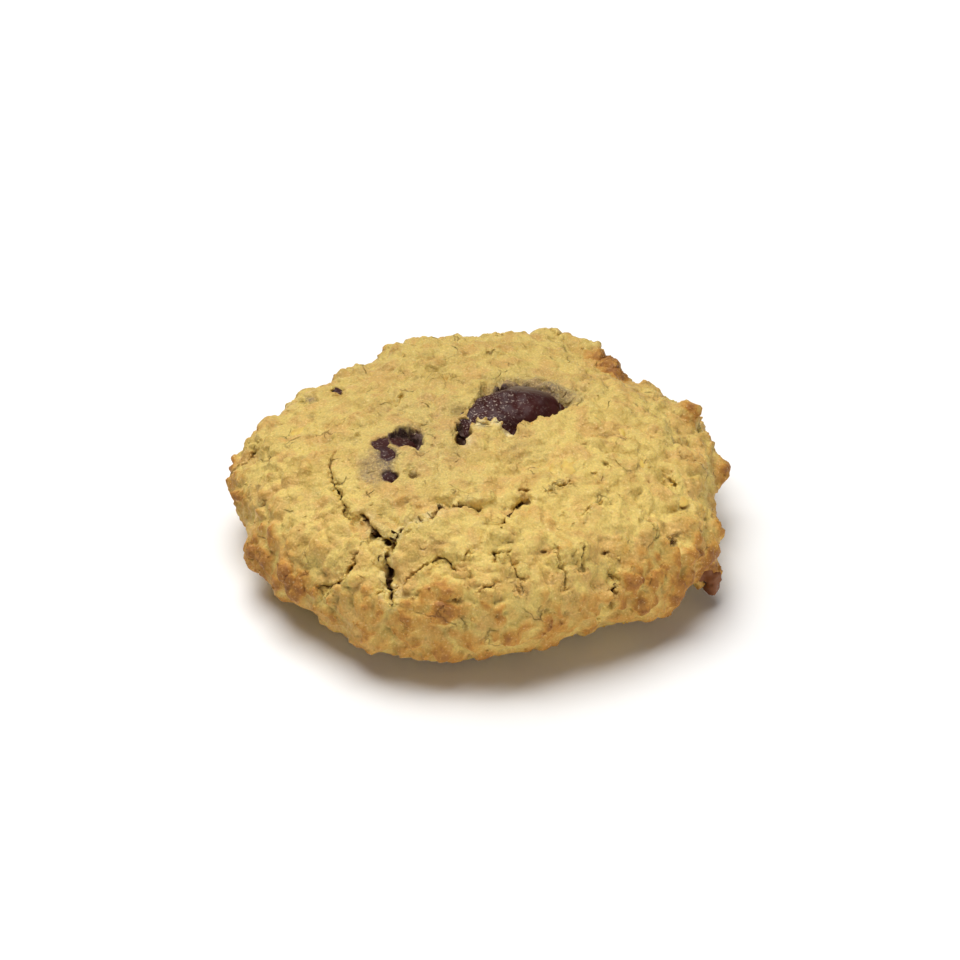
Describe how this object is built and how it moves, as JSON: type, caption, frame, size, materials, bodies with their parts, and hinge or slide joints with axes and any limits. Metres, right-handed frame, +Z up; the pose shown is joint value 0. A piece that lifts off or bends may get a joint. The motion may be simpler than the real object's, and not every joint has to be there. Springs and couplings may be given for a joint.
{
  "type": "cranberry cookie",
  "caption": "Round drop cookie of baked oat dough with a craggy crust, surface cracks and dried cranberries set in its top and rim.",
  "frame": {"origin": "on the surface that the cookie rests on, under the middle of its outline", "axes": "+Z up, through the cookie's height; the open crack and the lifted plates of crust face -Y, and +X is to the right as they are seen"},
  "size_m": [0.0724, 0.0744, 0.0219],
  "materials": {
    "baked_oat_dough": null,
    "dried_cranberry": null
  },
  "bodies": {
    "root": {"cookie": "baked_oat_dough", "cranberry_middle": "dried_cranberry", "cranberry_left": "dried_cranberry", "cranberry_back": "dried_cranberry", "cranberry_rim": "dried_cranberry"}
  },
  "joints": []
}
